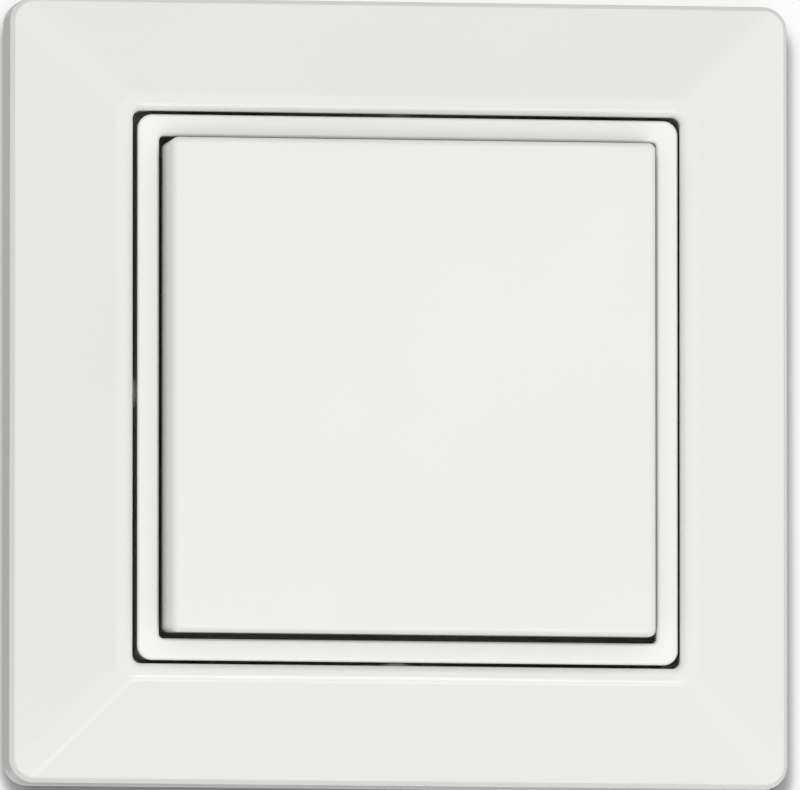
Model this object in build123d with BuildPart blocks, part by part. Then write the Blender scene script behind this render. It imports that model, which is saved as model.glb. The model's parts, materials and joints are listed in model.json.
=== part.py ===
from build123d import *
from math import cos, pi, sin
import os

# Wireless wall switch with a battery-free radio module behind one large rocker.
# The wall is the plane y = 0 and the room lies towards -Y. Every depth below is a distance
# from the wall towards the room. X runs to the right and Z runs up. Sizes are millimetres.

# Surface frame, which hangs on the ring's tabs and sits a little to the left in its play
FRAME_SIZE = 80.0
FRAME_SHIFT = -0.15
FRAME_REAR = 0.3
FRAME_EDGE_DEPTH = 5.8
FRAME_LAND_DEPTH = 11.0
FRAME_LAND_WIDTH = 1.5
FRAME_WALL = 1.7
FRAME_THROAT_WALL = 1.4
FRAME_CORNER = 2.5
FRAME_RIDGE_CORNER = 1.9
FRAME_OPENING_CORNER = 0.85
FRAME_EDGE_BEVEL = 0.45
FRAME_RIDGE_ROUND = 1.6
FRAME_LIP_ROUND = 0.8
FRAME_THROAT_REAR = 5.5
FRAME_RIB_THICKNESS = 1.2
FRAME_RIB_PITCH = 26.0

# Intermediate ring
RING_SIZE = 55.5
RING_GAP = 0.35
RING_BAR = 2.2
RING_SKIRT_WALL = 1.2
RING_FRONT_DEPTH = 10.4
RING_FRONT_THICKNESS = 1.6
RING_CORNER = 1.5
RING_INNER_CORNER = 0.5
RING_EDGE_BEVEL = 0.2
RING_TAB_LENGTH = 8.0
RING_TAB_PLACE = 18.0
RING_TAB_REACH = 1.8
RING_TAB_THICKNESS = 1.2

# Rocker
ROCKER_GAP_SIDE = 0.35
ROCKER_GAP_TOP = 0.4
ROCKER_FACE_DEPTH = 14.5
ROCKER_SKIRT_REAR = 8.6
ROCKER_TOP_WALL = 1.6
ROCKER_SKIRT_WALL = 1.2
ROCKER_CORNER = 0.75
ROCKER_SIDE_DRAFT = 0.098
ROCKER_END_UNDERCUT = 0.06
ROCKER_EDGE_BEVEL = 0.4
ROCKER_EAR_THICKNESS = 1.4
ROCKER_EAR_WIDTH = 7.0
ROCKER_EAR_BELOW_AXIS = 2.6
ROCKER_SNAP_SLOT = 2.6
ROCKER_RIB_THICKNESS = 0.9
ROCKER_RIB_BOW_GAP = 1.0
ROCKER_RIB_PITCH = 9.0
ROCKER_RIB_COUNT = 5

# Tilting axis of the rocker and of the energy bow
AXIS_DEPTH = 9.4
STUB_DIAMETER = 3.0
RUNNING_CLEARANCE = 0.03
SIDE_PLAY = 0.1
MODULE_CLEARANCE = 0.15

# Adhesive pad and mounting plate
PAD_SIZE = 52.0
PAD_THICKNESS = 0.8
PAD_CORNER = 2.0
PLATE_INSET = 4.5
PLATE_THICKNESS = 1.5
PLATE_CORNER = 3.0
PLATE_RIM_WIDTH = 1.2
PLATE_RIM_HEIGHT = 1.0
SCREW_INSET = 5.5
SCREW_HOLE_DIAMETER = 3.8
HOOK_LENGTH = 7.0
HOOK_THICKNESS = 1.2
HOOK_PLACE = 11.0
HOOK_NOSE = 1.1
HOOK_NOSE_HEIGHT = 0.9
HOOK_CLEARANCE = 0.1

# Radio module housing
MODULE_SIZE = 40.0
MODULE_WALL = 1.2
MODULE_FLOOR = 1.2
MODULE_CORNER = 1.5
BASE_RIM_DEPTH = 6.4
BASE_LIP_REACH = 1.2
BASE_LIP_THICKNESS = 1.0
COVER_FLANGE_THICKNESS = 0.8
COVER_BLOCK_BOW_GAP = 0.5
COVER_BLOCK_WALL = 1.2
COVER_BLOCK_DEPTH = 10.8
COVER_TOP_WALL = 1.0
COVER_BLOCK_CORNER = 1.5
COVER_EDGE_BEVEL = 0.5
NIPPLE_HOLE_DIAMETER = 5.2
TOWER_THICKNESS = 1.1
TOWER_WIDTH = 5.0
TOWER_ABOVE_AXIS = 2.2
STUB_LENGTH = 1.6
BOW_PIN_DIAMETER = 2.0
BOW_PIN_LENGTH = 1.9

# Energy bow
BOW_TOWER_GAP = 0.3
BOW_ARM_WIDTH = 2.6
BOW_END_INSET = 0.6
BOW_BAR_WIDTH = 3.2
BOW_REAR_DEPTH = 9.6
BOW_BAR_FRONT_DEPTH = 11.9
BOW_ARM_FRONT_DEPTH = 11.4
BOW_BOSS_DIAMETER = 3.6
BOW_CORNER = 1.2
LUG_INSET = 1.2
LUG_CARRIER_OFFSET = 2.1
LUG_THICKNESS = 1.6
LUG_WIDTH = 2.0
LUG_REAR_DEPTH = 4.6
LUG_SLOT_MARGIN_X = 0.35
LUG_SLOT_MARGIN_Z = 0.9

# Return springs
SPRING_INSET = 2.6
SPRING_MEAN_DIAMETER = 2.0
SPRING_WIRE = 0.35
SPRING_TURNS = 5
SPRING_STEPS = 10
SPRING_HOLE_DIAMETER = 3.2
SPRING_PIN_DIAMETER = 1.2
SPRING_PIN_HEIGHT = 1.4

# Rocker contacts
PRESS_GAP = 0.05
PRESS_RIB_WIDTH = 1.4
PRESS_RIB_LENGTH = 26.0
CONTACT_INSET = 3.1
CONTACT_PIN_WIDTH = 2.0
CONTACT_PIN_WEB = 0.8

# Harvester: armature, core and coil
ARMATURE_AXIS_DEPTH = 4.9
MAGNET_INSET = 6.1
MAGNET_WIDTH = 5.0
MAGNET_HALF_LENGTH = 5.0
MAGNET_THICKNESS = 2.44
POLE_THICKNESS = 1.0
CARRIER_BAR = 1.4
CARRIER_LEG_GAP = 0.6
CARRIER_HEIGHT = 3.8
TRUNNION_DIAMETER = 1.6
TRUNNION_LENGTH = 1.6
SADDLE_THICKNESS = 1.1
SADDLE_WIDTH = 3.2
CARRIER_ARM_WIDTH = 1.1
CARRIER_ARM_THICKNESS = 1.0
LEAF_THICKNESS = 0.2
LEAF_WIDTH = 1.2
CORE_THICKNESS = 1.2
CORE_INSET = 3.1
CORE_YOKE_WIDTH = 2.0
CORE_LEG_WIDTH = 3.0
CORE_SUPPORT_PLACE = -4.0
CORE_SUPPORT_LENGTH = 2.0
BOBBIN_LEG_GAP = 0.5
BOBBIN_FLANGE = 0.6
BOBBIN_TUBE_WALL = 0.5
BOBBIN_CLEARANCE = 0.05
BOBBIN_FLANGE_WIDTH = 6.8
BOBBIN_FLANGE_HEIGHT = 5.2
COIL_WIDTH = 6.0
COIL_HEIGHT = 4.6
COIL_CORNER = 1.0
TERMINAL_WIDTH = 0.5
TERMINAL_SPACING = 5.2

# Circuit board and what stands on it
BOARD_CLEARANCE = 0.2
BOARD_THICKNESS = 1.0
BOARD_DEPTH = 7.8
POST_INSET = 1.2
POST_WIDTH = 2.0
POST_PIN_DIAMETER = 1.2
POST_HOLE_CLEARANCE = 0.2
POST_PIN_HEIGHT = 0.9
MAT_NIPPLE_DIAMETER = 4.4
MAT_NIPPLE_TAPER = 16.0
MAT_NIPPLE_HEIGHT = 1.7
MAT_CAVITY_DIAMETER = 3.4
MAT_CAVITY_HEIGHT = 1.6
PILL_DIAMETER = 2.2
PILL_THICKNESS = 0.6
CHIP_SIZE = 4.0
CHIP_HEIGHT = 0.9
CRYSTAL_LENGTH = 3.2
CRYSTAL_WIDTH = 1.8
CRYSTAL_HEIGHT = 0.8
CAPACITOR_LENGTH = 3.0
CAPACITOR_WIDTH = 1.6
CAPACITOR_HEIGHT = 1.3
RECTIFIER_LENGTH = 2.8
RECTIFIER_WIDTH = 1.8
RECTIFIER_HEIGHT = 1.0
CHIP_PLACE_Z = -6.2
CRYSTAL_PLACE_Z = -1.6
CAPACITOR_PLACES_Z = (3.0, 6.2)
RECTIFIER_INSET = 1.7
RECTIFIER_PLACE_Z = -6.0
ANTENNA_DIAMETER = 0.6
ANTENNA_DEPTH = 5.2
ANTENNA_START_INSET = 1.5
ANTENNA_POST_GAP = 2.4
ANTENNA_END_INSET = 1.8
ANTENNA_CLIP_PLACE = 12.0
ANTENNA_CLIP_WIDTH = 1.6
ANTENNA_CLIP_THICKNESS = 0.7

# Hidden wires and small rounds are drawn with few sides, and cuts start this far outside
WIRE_SIDES = 6
SMALL_ROUND_SIDES = 8
CUT_MARGIN = 1.0

# Sizes and depths that follow from the ones above
ring_half = RING_SIZE / 2
opening_size = RING_SIZE + 2 * RING_GAP
land_size = opening_size + 2 * FRAME_LAND_WIDTH
frame_half = FRAME_SIZE / 2
bevel_slope = (FRAME_LAND_DEPTH - FRAME_EDGE_DEPTH) / (frame_half - land_size / 2)
edge_foot_depth = FRAME_EDGE_DEPTH - FRAME_EDGE_BEVEL
edge_top_depth = FRAME_EDGE_DEPTH + bevel_slope * FRAME_EDGE_BEVEL
edge_top_size = FRAME_SIZE - 2 * FRAME_EDGE_BEVEL
cavity_half = frame_half - FRAME_WALL
throat_half = opening_size / 2 + FRAME_THROAT_WALL
bevel_thickness = FRAME_WALL * (1 + bevel_slope**2) ** 0.5
cavity_edge_depth = FRAME_EDGE_DEPTH + bevel_slope * FRAME_WALL - bevel_thickness
cavity_run = cavity_half - opening_size / 2
cavity_top_depth = cavity_edge_depth + bevel_slope * cavity_run

ring_opening = RING_SIZE - 2 * RING_BAR
rocker_width = ring_opening - 2 * ROCKER_GAP_SIDE
rocker_height = ring_opening - 2 * ROCKER_GAP_TOP
rocker_underside = ROCKER_FACE_DEPTH - ROCKER_TOP_WALL

plate_size = FRAME_SIZE - 2 * PLATE_INSET
screw_place = plate_size / 2 - SCREW_INSET
plate_rear = PAD_THICKNESS
plate_front = plate_rear + PLATE_THICKNESS
plate_window = MODULE_SIZE + 2 * MODULE_CLEARANCE
base_floor = plate_rear + MODULE_FLOOR
base_inner_half = MODULE_SIZE / 2 - MODULE_WALL
lip_front = plate_front + BASE_LIP_THICKNESS
flange_front = BASE_RIM_DEPTH + COVER_FLANGE_THICKNESS
tower_inner = MODULE_SIZE / 2 - TOWER_THICKNESS
bow_outer_x = tower_inner - BOW_TOWER_GAP
bow_inner_x = bow_outer_x - BOW_ARM_WIDTH
bow_outer_z = MODULE_SIZE / 2 - BOW_END_INSET
bow_inner_z = bow_outer_z - BOW_BAR_WIDTH
lug_x = bow_outer_x - LUG_INSET
spring_z = MODULE_SIZE / 2 - SPRING_INSET
block_size = 2 * (bow_inner_x - COVER_BLOCK_BOW_GAP)
block_inner = block_size - 2 * COVER_BLOCK_WALL
block_ceiling = COVER_BLOCK_DEPTH - COVER_TOP_WALL
board_size = block_inner - 2 * BOARD_CLEARANCE
board_half = board_size / 2

board_front = BOARD_DEPTH + BOARD_THICKNESS
mat_thickness = block_ceiling - board_front
nipple_front = block_ceiling + MAT_NIPPLE_HEIGHT
pill_front = board_front + MAT_CAVITY_HEIGHT
leaf_depth = ARMATURE_AXIS_DEPTH + CARRIER_ARM_THICKNESS / 2
leaf_end = lug_x - SIDE_PLAY
core_rear = ARMATURE_AXIS_DEPTH - CORE_THICKNESS / 2
magnet_rear = ARMATURE_AXIS_DEPTH - MAGNET_THICKNESS / 2
magnet_front = ARMATURE_AXIS_DEPTH + MAGNET_THICKNESS / 2
magnet_right = board_half - MAGNET_INSET
magnet_left = magnet_right - MAGNET_WIDTH
carrier_left = magnet_left - CARRIER_BAR
carrier_right = magnet_right + CARRIER_BAR
leg_outer = board_half - CORE_INSET
leg_inner = leg_outer - CORE_LEG_WIDTH
yoke_left = CORE_INSET - board_half
yoke_right = yoke_left + CORE_YOKE_WIDTH
coil_middle = yoke_left + CORE_YOKE_WIDTH / 2
bobbin_half_length = leg_inner - BOBBIN_LEG_GAP
half_carrier = leg_inner - CARRIER_LEG_GAP
lug_place_z = half_carrier + LUG_CARRIER_OFFSET
coil_half_length = bobbin_half_length - BOBBIN_FLANGE
parts_column = (coil_middle + BOBBIN_FLANGE_WIDTH / 2 + carrier_left) / 2
antenna_wall_x = -base_inner_half + ANTENNA_DIAMETER / 2 + BOBBIN_CLEARANCE
antenna_start_x = ANTENNA_START_INSET - board_half
antenna_end_z = base_inner_half - ANTENNA_END_INSET
contact_place = board_half - CONTACT_INSET
post_place = board_half - POST_INSET
antenna_start_z = ANTENNA_POST_GAP - post_place

CORNERS = [(sx * contact_place, sz * contact_place) for sx in (-1, 1) for sz in (-1, 1)]
POSTS = [(sx * post_place, sz * post_place) for sx in (-1, 1) for sz in (-1, 1)]
PIN_POSTS = [POSTS[0], POSTS[-1]]


def at_depth(depth):
    """Plane parallel to the wall at this depth: sketch x is X, sketch y is Z."""
    return Plane.XZ.offset(depth)


def frame_depth(depth):
    """The same plane for the frame, with its middle where the frame's middle is."""
    return Plane(origin=(FRAME_SHIFT, -depth, 0), x_dir=(1, 0, 0), z_dir=(0, -1, 0))


def side_plane(x):
    """Plane across X: sketch x is the depth, sketch y is Z, and its normal points to -X."""
    return Plane(origin=(x, 0, 0), x_dir=(0, -1, 0), z_dir=(-1, 0, 0))


def level_plane(z):
    """Plane across Z: sketch x is X, sketch y is the depth, and its normal points to -Z."""
    return Plane(origin=(0, 0, z), x_dir=(1, 0, 0), z_dir=(0, 0, -1))


def block(x_low, x_high, z_low, z_high, rear, front, mode=Mode.ADD):
    """Straight block of the open part between two depths."""
    with BuildSketch(at_depth(rear)) as profile:
        with Locations(((x_low + x_high) / 2, (z_low + z_high) / 2)):
            Rectangle(x_high - x_low, z_high - z_low)
    extrude(profile.sketch, amount=front - rear, mode=mode)


def finish_piece(piece, label):
    """Name the piece and write it to its own file."""
    piece.part.label = label
    export_step(piece.part, f"parts/{label}.step")


os.makedirs("parts", exist_ok=True)

# Adhesive pad: foam film behind the module and the middle of the plate
with BuildPart() as adhesive_pad:
    with BuildSketch(at_depth(0)):
        RectangleRounded(PAD_SIZE, PAD_SIZE, PAD_CORNER)
    extrude(amount=PAD_THICKNESS)
finish_piece(adhesive_pad, "adhesive_pad")

# Mounting plate: window for the module, four screw holes, rim and four snap hooks
hook_inner = MODULE_SIZE / 2 + BASE_LIP_REACH + HOOK_CLEARANCE
hook_front = lip_front + HOOK_CLEARANCE + HOOK_NOSE_HEIGHT
screw_places = [(screw_place, 0), (-screw_place, 0), (0, screw_place), (0, -screw_place)]
with BuildPart() as mounting_plate:
    with BuildSketch(at_depth(plate_rear)):
        RectangleRounded(plate_size, plate_size, PLATE_CORNER)
        Rectangle(plate_window, plate_window, mode=Mode.SUBTRACT)
    extrude(amount=PLATE_THICKNESS)
    rim_inner = plate_size - 2 * PLATE_RIM_WIDTH
    with BuildSketch(at_depth(plate_front)):
        RectangleRounded(plate_size, plate_size, PLATE_CORNER)
        RectangleRounded(rim_inner, rim_inner, PLATE_CORNER - PLATE_RIM_WIDTH, mode=Mode.SUBTRACT)
    extrude(amount=PLATE_RIM_HEIGHT)
    with Locations(at_depth(plate_front)):
        with Locations(*screw_places):
            Hole(SCREW_HOLE_DIAMETER / 2, depth=PLATE_THICKNESS)
    for side in (-1, 1):
        for place in (-HOOK_PLACE, HOOK_PLACE):
            with BuildSketch(level_plane(place + HOOK_LENGTH / 2)):
                with BuildLine():
                    Polyline(
                        (side * hook_inner, plate_front),
                        (side * hook_inner, lip_front + HOOK_CLEARANCE),
                        (side * (hook_inner - HOOK_NOSE), lip_front + HOOK_CLEARANCE),
                        (side * hook_inner, hook_front),
                        (side * (hook_inner + HOOK_THICKNESS), hook_front),
                        (side * (hook_inner + HOOK_THICKNESS), plate_front),
                        close=True,
                    )
                make_face()
            extrude(amount=HOOK_LENGTH)
finish_piece(mounting_plate, "mounting_plate")

# Front frame: upright side walls, four bevelled faces, a flat land and a short throat
with BuildPart() as frame_cavity:
    cavity_corner = FRAME_CORNER - FRAME_WALL
    with BuildSketch(frame_depth(FRAME_REAR - CUT_MARGIN)):
        RectangleRounded(2 * cavity_half, 2 * cavity_half, cavity_corner)
    extrude(amount=cavity_edge_depth - FRAME_REAR + CUT_MARGIN)
    with BuildSketch(frame_depth(cavity_edge_depth)):
        RectangleRounded(2 * cavity_half, 2 * cavity_half, cavity_corner)
    with BuildSketch(frame_depth(cavity_top_depth)):
        RectangleRounded(opening_size, opening_size, FRAME_OPENING_CORNER)
    loft()
    with BuildSketch(frame_depth(FRAME_THROAT_REAR)):
        throat_corner = FRAME_OPENING_CORNER + FRAME_THROAT_WALL
        RectangleRounded(2 * throat_half, 2 * throat_half, throat_corner)
    extrude(amount=FRAME_LAND_DEPTH - FRAME_THROAT_REAR, mode=Mode.SUBTRACT)

rib_start = plate_size / 2 + MODULE_CLEARANCE
rib_front = cavity_edge_depth + FRAME_WALL / 2
with BuildPart() as front_frame:
    with BuildSketch(frame_depth(FRAME_REAR)):
        RectangleRounded(FRAME_SIZE, FRAME_SIZE, FRAME_CORNER)
    extrude(amount=edge_foot_depth - FRAME_REAR)
    with BuildSketch(frame_depth(edge_foot_depth)):
        RectangleRounded(FRAME_SIZE, FRAME_SIZE, FRAME_CORNER)
    with BuildSketch(frame_depth(edge_top_depth)):
        RectangleRounded(edge_top_size, edge_top_size, FRAME_CORNER - FRAME_EDGE_BEVEL)
    loft()
    with BuildSketch(frame_depth(edge_top_depth)):
        RectangleRounded(edge_top_size, edge_top_size, FRAME_CORNER - FRAME_EDGE_BEVEL)
    with BuildSketch(frame_depth(FRAME_LAND_DEPTH)):
        RectangleRounded(land_size, land_size, FRAME_RIDGE_CORNER)
    loft()
    fillet(front_frame.faces().sort_by(Axis.Y)[0].edges(), FRAME_RIDGE_ROUND)
    with BuildSketch(frame_depth(FRAME_REAR)):
        RectangleRounded(opening_size, opening_size, FRAME_OPENING_CORNER)
    extrude(amount=FRAME_LAND_DEPTH - FRAME_REAR, mode=Mode.SUBTRACT)
    fillet(front_frame.faces().sort_by(Axis.Y)[0].inner_wires()[0].edges(), FRAME_LIP_ROUND)
    add(frame_cavity.part, mode=Mode.SUBTRACT)
    for side in (-1, 1):
        for place in (-FRAME_RIB_PITCH / 2, FRAME_RIB_PITCH / 2):
            near, far = sorted((side * rib_start, side * (cavity_half + FRAME_WALL / 4)))
            low = place - FRAME_RIB_THICKNESS / 2
            high = place + FRAME_RIB_THICKNESS / 2
            block(near, far, low, high, plate_rear, rib_front)
            block(low, high, near, far, plate_rear, rib_front)
finish_piece(front_frame, "front_frame")

# Intermediate ring: front band, thinner skirt down to the plate and tabs behind the frame's throat
with BuildPart() as insert_ring:
    with BuildSketch(at_depth(plate_front)):
        RectangleRounded(RING_SIZE, RING_SIZE, RING_CORNER)
    extrude(amount=RING_FRONT_DEPTH - plate_front)
    with BuildSketch(at_depth(plate_front)):
        RectangleRounded(ring_opening, ring_opening, RING_INNER_CORNER)
    extrude(amount=RING_FRONT_DEPTH - plate_front, mode=Mode.SUBTRACT)
    chamfer(insert_ring.faces().sort_by(Axis.Y)[0].edges(), RING_EDGE_BEVEL)
    ring_skirt_inner = RING_SIZE - 2 * RING_SKIRT_WALL
    with BuildSketch(at_depth(plate_front)):
        RectangleRounded(ring_skirt_inner, ring_skirt_inner, RING_INNER_CORNER)
    extrude(amount=RING_FRONT_DEPTH - RING_FRONT_THICKNESS - plate_front, mode=Mode.SUBTRACT)
    tab_front = FRAME_THROAT_REAR - SIDE_PLAY
    for side in (-1, 1):
        for place in (-RING_TAB_PLACE, RING_TAB_PLACE):
            foot = ring_half - RING_SKIRT_WALL / 2
            near, far = sorted((side * foot, side * (ring_half + RING_TAB_REACH)))
            low = place - RING_TAB_LENGTH / 2
            high = place + RING_TAB_LENGTH / 2
            block(near, far, low, high, tab_front - RING_TAB_THICKNESS, tab_front)
            block(low, high, near, far, tab_front - RING_TAB_THICKNESS, tab_front)
finish_piece(insert_ring, "insert_ring")

# Rocker: hollow cap with drafted sides, undercut ends that clear the ring, two snap ears,
# press ribs, cross-shaped contact pins and skirt ribs
bevel_depth = ROCKER_FACE_DEPTH - ROCKER_EDGE_BEVEL
draft_drop = bevel_depth - RING_FRONT_DEPTH
face_width = rocker_width - 2 * draft_drop * ROCKER_SIDE_DRAFT
skirt_height = rocker_height - 2 * draft_drop * ROCKER_END_UNDERCUT
inner_width = rocker_width - 2 * ROCKER_SKIRT_WALL
inner_height = skirt_height - 2 * ROCKER_SKIRT_WALL
ceiling_width = inner_width - 2 * (rocker_underside - RING_FRONT_DEPTH) * ROCKER_SIDE_DRAFT
ear_inner = MODULE_SIZE / 2 + SIDE_PLAY
ear_outer = ear_inner + ROCKER_EAR_THICKNESS
ear_rear = AXIS_DEPTH - ROCKER_EAR_BELOW_AXIS
root_depth = rocker_underside + ROCKER_TOP_WALL / 4
with BuildPart() as rocker:
    with BuildSketch(at_depth(ROCKER_SKIRT_REAR)):
        RectangleRounded(rocker_width, skirt_height, ROCKER_CORNER)
    extrude(amount=RING_FRONT_DEPTH - ROCKER_SKIRT_REAR)
    with BuildSketch(at_depth(RING_FRONT_DEPTH)):
        RectangleRounded(rocker_width, skirt_height, ROCKER_CORNER)
    with BuildSketch(at_depth(bevel_depth)):
        RectangleRounded(face_width, rocker_height, ROCKER_CORNER)
    loft()
    with BuildSketch(at_depth(bevel_depth)):
        RectangleRounded(face_width, rocker_height, ROCKER_CORNER)
    with BuildSketch(at_depth(ROCKER_FACE_DEPTH)):
        flat_width = face_width - 2 * ROCKER_EDGE_BEVEL
        flat_height = rocker_height - 2 * ROCKER_EDGE_BEVEL
        RectangleRounded(flat_width, flat_height, ROCKER_CORNER - ROCKER_EDGE_BEVEL)
    loft()
    with BuildSketch(at_depth(ROCKER_SKIRT_REAR)):
        Rectangle(inner_width, inner_height)
    extrude(amount=RING_FRONT_DEPTH - ROCKER_SKIRT_REAR, mode=Mode.SUBTRACT)
    with BuildSketch(at_depth(RING_FRONT_DEPTH)):
        Rectangle(inner_width, inner_height)
    with BuildSketch(at_depth(rocker_underside)):
        Rectangle(ceiling_width, inner_height)
    loft(mode=Mode.SUBTRACT)
    for side in (-1, 1):
        near, far = sorted((side * ear_inner, side * ear_outer))
        half_ear = ROCKER_EAR_WIDTH / 2
        block(near, far, -half_ear, half_ear, ear_rear, root_depth)
        with BuildSketch(side_plane(far)):
            with Locations((AXIS_DEPTH, 0)):
                Circle(STUB_DIAMETER / 2 + RUNNING_CLEARANCE)
            with Locations(((ear_rear + AXIS_DEPTH) / 2, 0)):
                Rectangle(ROCKER_EAR_BELOW_AXIS, ROCKER_SNAP_SLOT)
        extrude(amount=ROCKER_EAR_THICKNESS, mode=Mode.SUBTRACT)
        press_place = side * (bow_inner_z + bow_outer_z) / 2
        press_low = press_place - PRESS_RIB_WIDTH / 2
        press_high = press_place + PRESS_RIB_WIDTH / 2
        half_press = PRESS_RIB_LENGTH / 2
        press_rear = BOW_BAR_FRONT_DEPTH + PRESS_GAP
        block(-half_press, half_press, press_low, press_high, press_rear, root_depth)
        rib_foot = skirt_height / 2 - ROCKER_SKIRT_WALL / 2
        rib_near, rib_far = sorted((side * (bow_outer_z + ROCKER_RIB_BOW_GAP), side * rib_foot))
        for step in range(ROCKER_RIB_COUNT):
            rib_x = (step - (ROCKER_RIB_COUNT - 1) / 2) * ROCKER_RIB_PITCH
            rib_low = rib_x - ROCKER_RIB_THICKNESS / 2
            rib_high = rib_x + ROCKER_RIB_THICKNESS / 2
            block(rib_low, rib_high, rib_near, rib_far, RING_FRONT_DEPTH, root_depth)
    with BuildSketch(at_depth(nipple_front + PRESS_GAP)):
        with Locations(*CORNERS):
            Rectangle(CONTACT_PIN_WIDTH, CONTACT_PIN_WEB)
            Rectangle(CONTACT_PIN_WEB, CONTACT_PIN_WIDTH)
    extrude(amount=root_depth - nipple_front - PRESS_GAP)
finish_piece(rocker, "rocker")

# Module base: open tray with a lip, posts for the board, saddles for the armature and core seats
saddle_gap = (TRUNNION_LENGTH - SADDLE_THICKNESS) / 2
saddle_starts = (carrier_right + saddle_gap, carrier_left - TRUNNION_LENGTH + saddle_gap)
saddle_front = ARMATURE_AXIS_DEPTH + TRUNNION_DIAMETER / 2
core_support_left = CORE_SUPPORT_PLACE - CORE_SUPPORT_LENGTH / 2
core_support_right = CORE_SUPPORT_PLACE + CORE_SUPPORT_LENGTH / 2
lip_size = MODULE_SIZE + 2 * BASE_LIP_REACH
with BuildPart() as module_base:
    with BuildSketch(at_depth(plate_rear)):
        RectangleRounded(MODULE_SIZE, MODULE_SIZE, MODULE_CORNER)
    extrude(amount=BASE_RIM_DEPTH - plate_rear)
    with BuildSketch(at_depth(plate_front)):
        RectangleRounded(lip_size, lip_size, MODULE_CORNER + BASE_LIP_REACH)
    extrude(amount=BASE_LIP_THICKNESS)
    with BuildSketch(at_depth(base_floor)):
        Rectangle(2 * base_inner_half, 2 * base_inner_half)
    extrude(amount=BASE_RIM_DEPTH - base_floor, mode=Mode.SUBTRACT)
    with BuildSketch(at_depth(base_floor)):
        with Locations(*POSTS):
            Rectangle(POST_WIDTH, POST_WIDTH)
    extrude(amount=BOARD_DEPTH - base_floor)
    with BuildSketch(at_depth(BOARD_DEPTH)):
        with Locations(*PIN_POSTS):
            RegularPolygon(POST_PIN_DIAMETER / 2, SMALL_ROUND_SIDES)
    extrude(amount=POST_PIN_HEIGHT)
    with BuildSketch(at_depth(base_floor)):
        with Locations((0, spring_z), (0, -spring_z)):
            RegularPolygon(SPRING_PIN_DIAMETER / 2, SMALL_ROUND_SIDES)
    extrude(amount=SPRING_PIN_HEIGHT)
    for start in saddle_starts:
        half_saddle = SADDLE_WIDTH / 2
        block(start, start + SADDLE_THICKNESS, -half_saddle, half_saddle, base_floor, saddle_front)
        with BuildSketch(side_plane(start + SADDLE_THICKNESS)):
            with Locations((ARMATURE_AXIS_DEPTH, 0)):
                Circle(TRUNNION_DIAMETER / 2 + RUNNING_CLEARANCE)
            with Locations((ARMATURE_AXIS_DEPTH + TRUNNION_DIAMETER / 4, 0)):
                Rectangle(TRUNNION_DIAMETER / 2, TRUNNION_DIAMETER + 2 * RUNNING_CLEARANCE)
        extrude(amount=SADDLE_THICKNESS, mode=Mode.SUBTRACT)
    for side in (-1, 1):
        low, high = sorted((side * leg_inner, side * leg_outer))
        block(core_support_left, core_support_right, low, high, base_floor, core_rear)
        cheek = leg_outer + BOBBIN_CLEARANCE
        low, high = sorted((side * cheek, side * (cheek + MODULE_WALL / 2)))
        block(core_support_left, core_support_right, low, high, base_floor, ARMATURE_AXIS_DEPTH)
        clip_low = side * ANTENNA_CLIP_PLACE - ANTENNA_CLIP_WIDTH / 2
        clip_high = side * ANTENNA_CLIP_PLACE + ANTENNA_CLIP_WIDTH / 2
        clip_front = ANTENNA_DEPTH - ANTENNA_DIAMETER / 2
        clip_right = -base_inner_half + ANTENNA_CLIP_THICKNESS
        block(-base_inner_half, clip_right, clip_low, clip_high, base_floor, clip_front)
finish_piece(module_base, "module_base")

# Module cover: flange, raised block over the board, pivot towers, stubs and bow pins
with BuildPart() as module_cover:
    with BuildSketch(at_depth(BASE_RIM_DEPTH)):
        RectangleRounded(MODULE_SIZE, MODULE_SIZE, MODULE_CORNER)
    extrude(amount=COVER_FLANGE_THICKNESS)
    with BuildSketch(at_depth(flange_front)):
        RectangleRounded(block_size, block_size, COVER_BLOCK_CORNER)
    extrude(amount=COVER_BLOCK_DEPTH - flange_front)
    chamfer(module_cover.faces().sort_by(Axis.Y)[0].edges(), COVER_EDGE_BEVEL)
    with BuildSketch(at_depth(BASE_RIM_DEPTH)):
        Rectangle(block_inner, block_inner)
    extrude(amount=block_ceiling - BASE_RIM_DEPTH, mode=Mode.SUBTRACT)
    with BuildSketch(at_depth(block_ceiling)):
        with Locations(*CORNERS):
            RegularPolygon(NIPPLE_HOLE_DIAMETER / 2, SMALL_ROUND_SIDES)
    extrude(amount=COVER_TOP_WALL, mode=Mode.SUBTRACT)
    with BuildSketch(at_depth(BASE_RIM_DEPTH)):
        with Locations((0, spring_z), (0, -spring_z)):
            RegularPolygon(SPRING_HOLE_DIAMETER / 2, SMALL_ROUND_SIDES)
        with Locations((lug_x, lug_place_z)):
            slot_width = LUG_THICKNESS + 2 * LUG_SLOT_MARGIN_X
            Rectangle(slot_width, LUG_WIDTH + 2 * LUG_SLOT_MARGIN_Z)
    extrude(amount=COVER_FLANGE_THICKNESS, mode=Mode.SUBTRACT)
    for side in (-1, 1):
        near, far = sorted((side * tower_inner, side * MODULE_SIZE / 2))
        half_tower = TOWER_WIDTH / 2
        block(near, far, -half_tower, half_tower, flange_front, AXIS_DEPTH + TOWER_ABOVE_AXIS)
        outer_end = max(side * MODULE_SIZE / 2, side * (MODULE_SIZE / 2 + STUB_LENGTH))
        with BuildSketch(side_plane(outer_end)):
            with Locations((AXIS_DEPTH, 0)):
                Circle(STUB_DIAMETER / 2)
        extrude(amount=STUB_LENGTH)
        inner_end = max(side * tower_inner, side * (tower_inner - BOW_PIN_LENGTH))
        with BuildSketch(side_plane(inner_end)):
            with Locations((AXIS_DEPTH, 0)):
                Circle(BOW_PIN_DIAMETER / 2)
        extrude(amount=BOW_PIN_LENGTH)
finish_piece(module_cover, "module_cover")

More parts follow.
